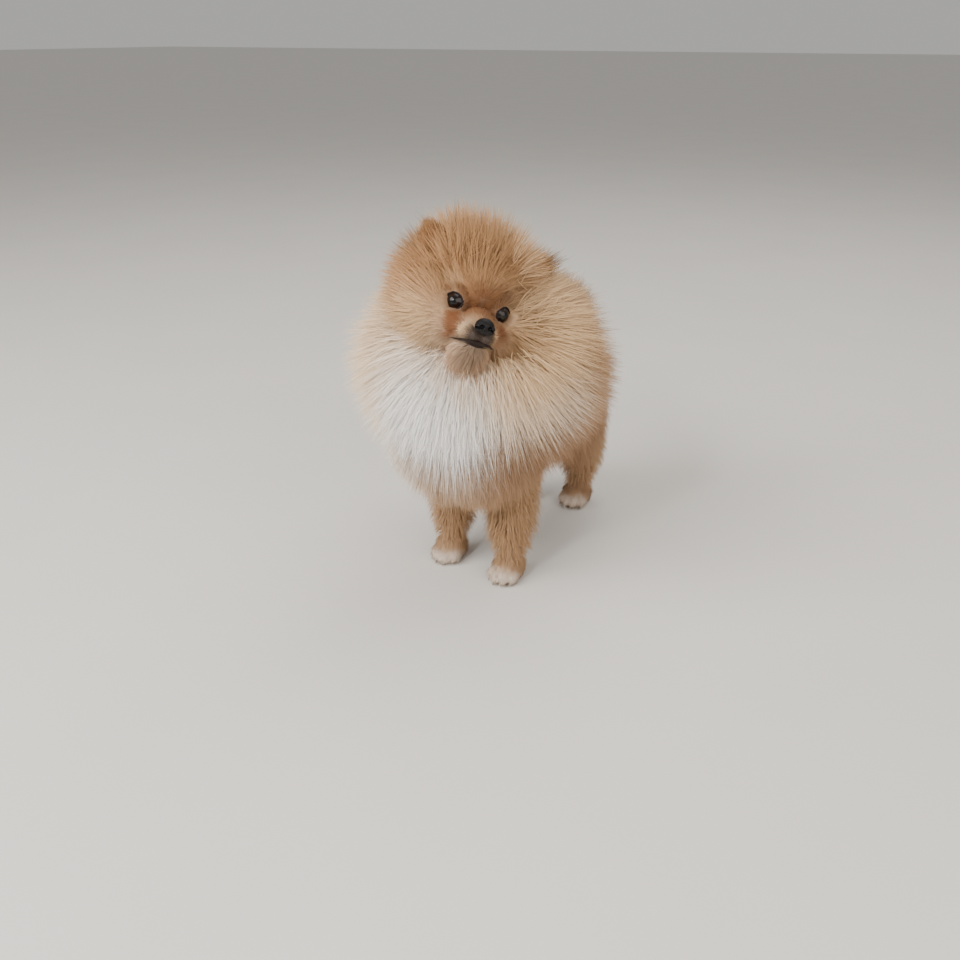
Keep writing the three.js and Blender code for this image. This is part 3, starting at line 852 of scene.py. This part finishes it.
# place in millimetres of the body or the head, radii, softness, colour and strength
markingsAndPaintedLight = {
    "body": [
        ((0, 70, 205), (60, 130, 34), 0.5, "tan", 0.4),
        ((0, 110, 95), (60, 90, 50), 0.5, "shade", 0.6),
        ((0, 130, 185), (60, 60, 46), 0.5, "cream", 0.75),
        ((0, 176, 95), (60, 34, 60), 0.5, "cream", 0.6),
        ((-4, 0, 178), (120, 84, 96), 0.35, "cream", 0.9),
        ((10, -40, 88), (60, 50, 24), 0.5, "shade", 0.45),
        # painted shade: the flank colour darkens the dog's left flank, which the lights leave in shade
        ((74, 34, 182), (54, 90, 84), 0.5, "flank", 0.95),
        ((-26, -50, 174), (84, 58, 64), 0.5, "pale", 1.0),
        ((46, -50, 184), (46, 42, 28), 0.5, "pale", 0.75),
        ((-62, -24, 195), (40, 60, 50), 0.5, "cream", 0.65),
        ((0, -58, 164), (34, 46, 40), 0.5, "white", 1.0),
        # painted shade on the lower ruff, most on the dog's left, and under the chest in the flank colour
        ((58, -36, 116), (44, 52, 44), 0.5, "shade", 0.8),
        ((48, -36, 149), (28, 40, 25), 0.5, "shade", 0.92),
        ((8, -46, 122), (44, 40, 24), 0.5, "flank", 0.7),
        ((30, 0, 45), (30, 30, 50), 0.4, "leg", 0.85),
        ((-30, 4, 45), (30, 30, 50), 0.4, "leg", 0.85),
        # the paws' pale cream, dimmed as painted shade
        ((30, -18, 1), (24, 20, 11), 0.35, "paw", 0.95),
        ((-30, -10, 1), (24, 20, 11), 0.35, "paw", 0.95),
        ((26, 140, 2), (24, 20, 11), 0.35, "paw", 0.9),
        ((-26, 133, 2), (24, 20, 11), 0.35, "paw", 0.9),
    ],
    "head": [
        ((0, 24, 14), (64, 60, 48), 0.4, "tan", 0.92),
        ((-46, 30, 5), (32, 50, 26), 0.5, "orange", 0.85),
        ((0, 30, 44), (50, 40, 16), 0.5, "cream", 0.5),
        # painted light: cream laid on strongly over the head's and the cheek's left side, which face away
        # from the window light
        ((36, 24, 32), (26, 30, 24), 0.5, "cream", 0.35),
        ((42, 12, -6), (22, 26, 20), 0.5, "cream", 0.75),
        ((-7, 12, 24), (29, 26, 26), 0.5, "orange", 0.9),
        ((38, 14, -26), (20, 22, 20), 0.5, "cream", 0.7),
        ((-40, 14, -28), (20, 22, 20), 0.5, "cream", 0.7),
        ((0, 2, 2), (20, 14, 10), 0.5, "bridge", 0.85),
        ((14.5, -8, -15), (5.5, 12, 9.5), 0.6, "rust", 0.9),
        ((-16.5, -7, -14.5), (6.8, 13.5, 11), 0.5, "rust", 0.92),
        ((24, 4, -5), (6, 10, 10), 0.6, "orange", 0.5),
        ((0, -5, -32), (16, 18, 8), 0.5, "flesh", 0.85),
        ((0, -6, -5), (12, 23, 10), 0.4, "bridge", 0.9),
        *mirrored([((9, -18, -19), (4, 7, 4.5), 0.6, "cream", 0.6)]),
        ((0, -27, -18), (10.5, 9.5, 7.5), 0.5, "grey", 0.95),
        *mirrored([((8, -20, -21.5), (5, 11, 3), 0.6, "grey", 0.7)]),
        ((0, -18, -27), (7, 8, 4), 0.6, "grey", 0.6),
        ((0, -20, -24.0), (14, 18, 1.6), 0.7, "dark", 0.9),
        *mirrored([((18.6, 0, 0), (7.8, 8, 6.9), 0.25, "lash", 0.5)]),
        ((-22, 1, 10), (7, 8, 4), 0.5, "cream", 0.9),
        ((22, 1, 10), (7, 8, 4), 0.5, "cream", 0.5),
        *mirrored([((40, 24, 36), (12, 14, 12), 0.5, "orange", 0.9)]),
        ((-38, 24, 34), (8, 12, 8), 0.5, "rust", 0.4),
        # painted shade: dark brown in the hollow of the dog's right ear
        ((-33, 26, 24), (5, 9, 6), 0.5, "bridge", 0.95),
        ((-30, 21, 20), (5, 8, 7), 0.5, "bridge", 0.9),
    ],
}


def buildMarkingsAndPaintedLight():
    group, entry, leave = newGroup("coatMarkingsAndPaintedLight", [("Place", "NodeSocketVector")],
                                   [("Colour", "NodeSocketColor")])
    # the edges of the markings, of the painted shade and of the painted light wander by a few millimetres
    noise = addNode(group, "TexNoise", Vector=entry.outputs["Place"], Scale=45.0, Detail=2.0)
    centred = vectorMaths(group, "SUBTRACT", noise.outputs["Color"], (0.5, 0.5, 0.5))
    place = vectorMaths(group, "ADD", entry.outputs["Place"], scaleBy(group, centred, 0.010))
    # the same place in millimetres of the body, and in the head's own axes
    axes = {"body": (bodyShift * mm, (0, 0, 0)), "head": (headPlace(0, 0, 0), headTurn.to_euler())}
    places = {}
    for name, (origin, turn) in axes.items():
        node = addNode(group, "Mapping", {"vector_type": "TEXTURE"}, Vector=place,
                       Location=origin, Rotation=turn, Scale=(mm, mm, mm))
        places[name] = node.outputs[0]
    # every place starts from the flank colour, a sable tan darkened as painted shade
    last = markingAndShadeColours["flank"]
    for name in ("body", "head"):
        for centre, radii, soft, tint, strength in markingsAndPaintedLight[name]:
            blob = addNode(group, "Group", {"node_tree": softBlob}, Place=places[name],
                           Centre=centre, Radii=radii, Softness=soft)
            amount = maths(group, "MULTIPLY", blob.outputs[0], strength)
            last = mixColours(group, amount, last, markingAndShadeColours[tint])
    group.links.new(last, leave.inputs["Colour"])
    return group


coatMarkingsAndPaintedLight = buildMarkingsAndPaintedLight()


def newMaterial(name):
    material = bpy.data.materials.new(name)
    material.use_nodes = True
    tree = material.node_tree
    return material, tree, tree.nodes["Principled BSDF"]


def coatMaterial():
    material, tree, shader = newMaterial("coat_hair")
    root, along, tone = [addNode(tree, "Attribute", {"attribute_name": name})
                         for name in ("root", "along", "tone")]
    marked = addNode(tree, "Group", {"node_tree": coatMarkingsAndPaintedLight}, Place=root.outputs["Vector"])
    depth = mapRange(tree, along.outputs["Fac"], 0.0, 1.0, 0.96, 1.12)
    lighter = mapRange(tree, tone.outputs["Fac"], 0.0, 1.0, 0.93, 1.07)
    tinted = scaleBy(tree, marked.outputs[0], maths(tree, "MULTIPLY", depth, lighter))
    tree.links.new(tinted, shader.inputs["Base Color"])
    shader.inputs["Roughness"].default_value = 0.7
    shader.inputs["Specular IOR Level"].default_value = 0.12
    return material


def skinMaterial():
    material, tree, shader = newMaterial("skin_under_coat")
    place = addNode(tree, "TexCoord").outputs["Object"]
    # the skin carries the coat's markings with their painted shade and painted light
    marked = addNode(tree, "Group", {"node_tree": coatMarkingsAndPaintedLight}, Place=place)
    grain = addNode(tree, "TexNoise", Vector=place, Scale=1400.0, Detail=3.0)
    shade = mapRange(tree, grain.outputs["Fac"], 0.3, 0.7, 0.7, 0.9)
    tree.links.new(scaleBy(tree, marked.outputs[0], shade), shader.inputs["Base Color"])
    bump = addNode(tree, "Bump", Strength=0.5, Distance=0.0006, Height=grain.outputs["Fac"])
    tree.links.new(bump.outputs[0], shader.inputs["Normal"])
    shader.inputs["Roughness"].default_value = 0.75
    return material


print("materials")
coatHair = coatMaterial()
underCoat = skinMaterial()
for piece in coat:
    piece.data.materials.append(coatHair)
    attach(piece, "root")
skin.data.materials.clear()
skin.data.materials.append(underCoat)
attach(skin, "root")
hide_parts("head", "neck_ruff", "torso", "tail", "ear_left", "ear_right", "foreleg_left",
            "foreleg_right", "hindleg_left", "hindleg_right", "forepaw_left", "forepaw_right",
            "hindpaw_left", "hindpaw_right")


# eyes, lids, nose, lips and claws

def eyeMaterial(side):
    material, tree, shader = newMaterial("eye_glass_" + ("left" if side > 0 else "right"))
    place = addNode(tree, "TexCoord")
    turn = headTurn @ Matrix(np.array(eyeAxes(side)).T.tolist())
    spot = addNode(tree, "Mapping", {"vector_type": "TEXTURE"}, Vector=place.outputs["Object"],
                   Location=eyePlace(side), Rotation=turn.to_euler(), Scale=(mm, mm, mm))
    parts = addNode(tree, "SeparateXYZ", i0=spot.outputs[0])
    ring = addNode(tree, "CombineXYZ", i0=0.0, i1=parts.outputs[1], i2=parts.outputs[2])
    reach = addNode(tree, "VectorMath", {"operation": "LENGTH"}, i0=ring.outputs[0])
    ray = addNode(tree, "VectorMath", {"operation": "NORMALIZE"}, i0=ring.outputs[0])
    fibres = addNode(tree, "TexNoise", Vector=ray.outputs[0], Scale=9.0, Detail=4.0)

    def beyond(edge, start=0.0, end=1.0):
        return mapRange(tree, reach.outputs["Value"], *eyeShape[edge], start, end, "SMOOTHSTEP")

    brown = mixColours(tree, fibres.outputs["Fac"], linear(14, 8, 5), linear(34, 18, 10))
    ringed = mixColours(tree, beyond("irisEdge"), brown, linear(24, 15, 12))
    rimmed = mixColours(tree, beyond("white"), ringed, linear(70, 52, 46))
    colour = mixColours(tree, beyond("pupil", 1.0, 0.0), rimmed, linear(5, 4, 4))
    tree.links.new(colour, shader.inputs["Base Color"])
    shader.inputs["Roughness"].default_value = 0.4
    shader.inputs["Specular IOR Level"].default_value = 0.1
    shader.inputs["Coat Weight"].default_value = 1.0
    shader.inputs["Coat IOR"].default_value = 1.34
    shader.inputs["Coat Roughness"].default_value = 0.02
    return material


def leatherMaterial(name, dark, light, scale, roughness):
    material, tree, shader = newMaterial(name)
    place = addNode(tree, "TexCoord").outputs["Object"]
    cells = addNode(tree, "TexVoronoi", Vector=place, Scale=scale)
    fine = addNode(tree, "TexNoise", Vector=place, Scale=scale * 0.4, Detail=3.0)
    tone = mapRange(tree, cells.outputs["Distance"], 0.0, 0.8, 1.0, 0.0)
    colour = mixColours(tree, maths(tree, "MULTIPLY", tone, fine.outputs["Fac"]), dark, light)
    tree.links.new(colour, shader.inputs["Base Color"])
    bump = addNode(tree, "Bump", {"invert": True}, Strength=0.55, Distance=0.00025,
                   Height=cells.outputs["Distance"])
    tree.links.new(bump.outputs[0], shader.inputs["Normal"])
    shader.inputs["Roughness"].default_value = roughness
    shader.inputs["Specular IOR Level"].default_value = 0.22
    return material


noseLeather = leatherMaterial("nose_leather", linear(8, 7, 8), linear(28, 26, 26), 1500.0, 0.42)
lipLeather = leatherMaterial("lip_leather", linear(26, 16, 12), linear(52, 34, 26), 1100.0, 0.66)
clawHorn = leatherMaterial("claw_horn", linear(120, 102, 88), linear(176, 160, 144), 700.0, 0.4)


def finishPiece(piece, name, material, slot, *nodes):
    piece.name = name
    piece.data.name = name
    piece.data.materials.clear()
    piece.data.materials.append(material)
    pick(piece)
    bpy.ops.object.shade_smooth()
    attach(piece, "root")
    if nodes:
        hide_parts(*nodes)


def addEye(side, name):
    radius = eyeShape["radius"]
    eye = addBall(eyePlace(side), (radius, radius, radius), headTurn, 64, 48)
    points = toHead(toBody(meshPoints(eye)))
    forward = eyeAxes(side)[0]
    away = points - np.array(eyeShape["centre"]) * (side, 1, 1)
    facing = (away @ forward) / radius
    bulge = np.clip((facing - 0.80) / 0.20, 0, 1) * eyeShape["bulge"]  # the clear front stands proud
    setMeshPoints(eye, fromHead(points + forward * bulge[:, None]))
    finishPiece(eye, "eyeball_" + name, eyeMaterial(side), "eye", "eye_" + name)


rimShape = {"tube": 0.15, "outset": 0.1, "flattening": 0.10, "thickness": 0.55, "cornerThickness": 0.25,
            "proud": 0.35, "depth": 0.7}


def addLidRim(side, name):
    # a ring laid over the eyeball, along the edge of the lids
    deselectAll()
    bpy.ops.mesh.primitive_torus_add(major_segments=64, minor_segments=10, major_radius=1.0,
                                     minor_radius=rimShape["tube"])
    rim = settle()
    points = meshPoints(rim)
    angle = np.arctan2(points[:, 1], points[:, 0])
    outwards = (np.hypot(points[:, 0], points[:, 1]) - 1.0) / rimShape["tube"]
    upwards = points[:, 2] / rimShape["tube"]
    forward, outer, up = eyeAxes(side)
    centre = np.array(eyeShape["centre"]) * (side, 1, 1)
    across = np.cos(angle) * (eyeShape["halfWidth"] + rimShape["outset"])
    height = np.sin(angle) * (eyeShape["halfHeight"] + rimShape["outset"])
    height = height * (1 - rimShape["flattening"] * np.cos(angle) ** 2)
    thick = rimShape["thickness"] + rimShape["cornerThickness"] * np.abs(np.cos(angle)) ** 3
    across = across + np.cos(angle) * outwards * thick
    height = height + np.sin(angle) * outwards * thick
    depth = np.sqrt(np.maximum(eyeShape["radius"] ** 2 - across ** 2 - height ** 2, 1.0))
    spot = forward * depth[:, None] + outer * across[:, None] + up * height[:, None]
    proud = eyeShape["radius"] + rimShape["proud"] + upwards * rimShape["depth"] * thick
    setMeshPoints(rim, fromHead(centre + unit(spot) * proud[:, None]))
    if side < 0:
        turnOutwards()
    finishPiece(rim, "lid_rim_" + name, lipLeather, "nose")


noseShape = {
    "voxel": 0.00032, "ball": ((0, -28.5, -11), (7.0, 5.4, 5.8)),
    "wing": ((4.4, -30.6, -12.2), (3.0, 3.2, 3.3)),
    "nostril": ((2.9, -34.6, -11.4), (1.7, 3.4, 1.6)), "slit": ((6.0, -32.0, -12.6), (2.6, 3.0, 0.8)),
    "groove": ((0, -34.2, -14.6), (0.45, 2.4, 3.8)),
}


def noseBalls(form, sides, *fineness):
    (x, y, z), radii = noseShape[form]
    return [addBall(headPlace(side * x, y, z), radii, headTurn, *fineness) for side in sides]


def addNose():
    nose = joinAll(noseBalls("ball", (1,), 48, 32) + noseBalls("wing", (1, -1)), "nose")
    cutters = noseBalls("nostril", (1, -1)) + noseBalls("slit", (1, -1)) + noseBalls("groove", (1,))
    applyModifier(nose, "REMESH", mode="VOXEL", voxel_size=noseShape["voxel"], adaptivity=0)
    for cutter in cutters:
        applyModifier(nose, "BOOLEAN", operation="DIFFERENCE", object=cutter, solver="EXACT")
        bpy.data.objects.remove(cutter)
    applyModifier(nose, "REMESH", mode="VOXEL", voxel_size=noseShape["voxel"], adaptivity=0)
    applyModifier(nose, "SMOOTH", factor=0.5, iterations=3)
    finishPiece(nose, "nose_leather", noseLeather, "nose", "nose")


def surfaceHit(origin, direction):
    start = headPlace(*origin)
    aim = (headTurn @ Vector(direction)).normalized()
    hit, place, _, _ = skin.ray_cast(start, aim)
    return toHead(toBody(np.array([place])))[0] if hit else None


lipShape = {
    "steps": 24, "stepAngle": 4.35, "height": -23.2, "cornerDrop": -3.6, "proud": 1.7,
    "rims": ((0.0, 1.8, 0.62), (-2.0, 1.0, 0.05)),  # height, half thickness under the nose and aside
}


def lipPath(drop):
    # along the surface of the muzzle, from one corner of the mouth to the other
    path = []
    steps = lipShape["steps"]
    for step in range(-steps, steps + 1):
        angle = math.radians(step * lipShape["stepAngle"])
        aim = (math.sin(angle), -math.cos(angle), 0)
        sag = lipShape["cornerDrop"] * max(0.0, abs(step) / steps - 0.45) ** 1.3
        spot = surfaceHit((0, -12, lipShape["height"] + drop + sag), aim)
        if spot is not None:
            path.append(spot + np.array(aim) * lipShape["proud"])
    path = np.array(path)
    for _ in range(3):
        path[1:-1] = (path[:-2] + 2 * path[1:-1] + path[2:]) / 4
    return path


def addLips():
    # a dark rim along each side of the mouth, widest under the nose
    tubes = []
    cutCount = lipShape["steps"]
    cuts = [0.0] + [sign * cut / cutCount for cut in range(1, cutCount) for sign in (1, -1)]
    for drop, full, thin in lipShape["rims"]:
        path = lipPath(drop)
        deselectAll()
        bpy.ops.mesh.primitive_cylinder_add(vertices=10, radius=1.0, depth=2.0, end_fill_type="TRIFAN")
        tube = settle()
        cutAcross((0, 0, 1), cuts)
        points = meshPoints(tube)
        t = (points[:, 2] + 1) / 2 * (len(path) - 1)
        ahead = np.gradient(path, axis=0)
        steps = np.arange(len(path))
        spots, aheads = [np.stack([np.interp(t, steps, values[:, k]) for k in range(3)], axis=1)
                         for values in (path, ahead)]
        up = np.broadcast_to(row(0, 0, 1), aheads.shape)
        across = unit(np.cross(unit(aheads), up))
        size = thin + (full - thin) * np.exp(-(np.abs(points[:, 2]) / 0.26) ** 2)
        size = size * np.clip((1.02 - np.abs(points[:, 2])) / 0.12, 0.15, 1)
        spots = spots + across * (points[:, 0] * size * 0.8)[:, None] + up * (points[:, 1] * size)[:, None]
        setMeshPoints(tube, fromHead(spots))
        turnOutwards()
        tubes.append(tube)
    finishPiece(joinAll(tubes, "lips"), "lips", lipLeather, "nose")


clawShape = {
    "length": 3.6, "radius": 0.95, "tip": 0.2, "bend": 1.6, "spread": 1.05, "ahead": 6.2, "height": 3.6,
}


def addClaws():
    deselectAll()
    length = clawShape["length"] * mm
    bpy.ops.mesh.primitive_cone_add(vertices=10, radius1=clawShape["radius"] * mm,
                                    radius2=clawShape["tip"] * mm, depth=length,
                                    rotation=(math.radians(90), 0, 0))
    first = settle("claw")
    cutAcross((0, 1, 0), [share * length for share in (-0.25, 0.0, 0.25)])
    bent = meshPoints(first)
    ahead = (length / 2 - bent[:, 1]) / length
    bent[:, 2] -= ahead ** 2 * clawShape["bend"] * mm  # the tip turns down
    setMeshPoints(first, bent)
    claws = []
    for x, y in pawPlaces:
        for toeX, toeY in skinShape["toes"]:
            pick(first)
            bpy.ops.object.duplicate()
            claw = bpy.context.object
            claw.location = bodyPlace(x + toeX * clawShape["spread"], y + toeY - clawShape["ahead"],
                                      clawShape["height"])
            claws.append(settle())
    bpy.data.objects.remove(first)
    finishPiece(joinAll(claws, "claws"), "claws", clawHorn, "nose")


print("eyes, nose, lips and claws")
for side, name in ((1, "left"), (-1, "right")):
    addEye(side, name)
    addLidRim(side, name)
addNose()
addLips()
addClaws()


# stage, light and camera
stageShape = {
    "floorSize": 40, "floorDark": (214, 210, 204), "floorLight": (222, 218, 212),
    "world": (0.82, 0.81, 0.79, 1), "worldStrength": 0.55,
    "lens": 35.6, "sensor": 36, "camera": (334.7, -626.3, 420), "forward": (-0.4237, 0.7976, -0.429),
}
# place, aim, size, power and colour
lights = {
    "window_light": ((-0.9, -1.3, 1.25), (0, -0.04, 0.16), (1.3, 1.3), 38, (1.0, 0.98, 0.95)),
    "side_fill": ((1.5, -0.8, 0.9), (0, 0, 0.15), (1.4, 1.4), 17, (1.0, 0.95, 0.88)),
    "catch_light": ((0.0, -1.25, 1.0), (0, -0.08, 0.22), (0.18, 0.34), 10, (1.0, 0.99, 0.97)),
    "top_fill": ((0.2, 0.8, 1.8), (0, 0, 0.15), (1.6, 1.6), 18, (1.0, 0.97, 0.93)),
}

print("stage")
deselectAll()
bpy.ops.mesh.primitive_plane_add(size=stageShape["floorSize"], location=(0, 0, 0))
floor = bpy.context.object
floor.name = "floor"
floorMaterial, floorTree, floorShader = newMaterial("pale_floor")
floorPlace = addNode(floorTree, "TexCoord").outputs["Object"]
floorNoise = addNode(floorTree, "TexNoise", Vector=floorPlace, Scale=6.0, Detail=3.0)
floorColour = mixColours(floorTree, floorNoise.outputs["Fac"], linear(*stageShape["floorDark"]),
                         linear(*stageShape["floorLight"]))
floorTree.links.new(floorColour, floorShader.inputs["Base Color"])
floorShader.inputs["Roughness"].default_value = 0.7
floor.data.materials.append(floorMaterial)


def addLight(name, place, aim, size, power, colour):
    light = bpy.data.lights.new(name, "AREA")
    light.shape = "RECTANGLE"
    light.size, light.size_y = size
    light.energy = power
    light.color = colour
    lamp = bpy.data.objects.new(name, light)
    lamp.location = place
    lamp.rotation_euler = (Vector(aim) - Vector(place)).to_track_quat("-Z", "Y").to_euler()
    bpy.context.scene.collection.objects.link(lamp)


for name, values in lights.items():
    addLight(name, *values)

world = bpy.data.worlds.new("studio")
world.use_nodes = True
world.node_tree.nodes["Background"].inputs[0].default_value = stageShape["world"]
world.node_tree.nodes["Background"].inputs[1].default_value = stageShape["worldStrength"]
bpy.context.scene.world = world

cameraData = bpy.data.cameras.new("photo_camera")
cameraData.lens = stageShape["lens"]
cameraData.sensor_width = stageShape["sensor"]
camera = bpy.data.objects.new("photo_camera", cameraData)
camera.location = bodyPlace(*stageShape["camera"])
camera.rotation_euler = Vector(stageShape["forward"]).to_track_quat("-Z", "Y").to_euler()
bpy.context.scene.collection.objects.link(camera)
bpy.context.scene.camera = camera
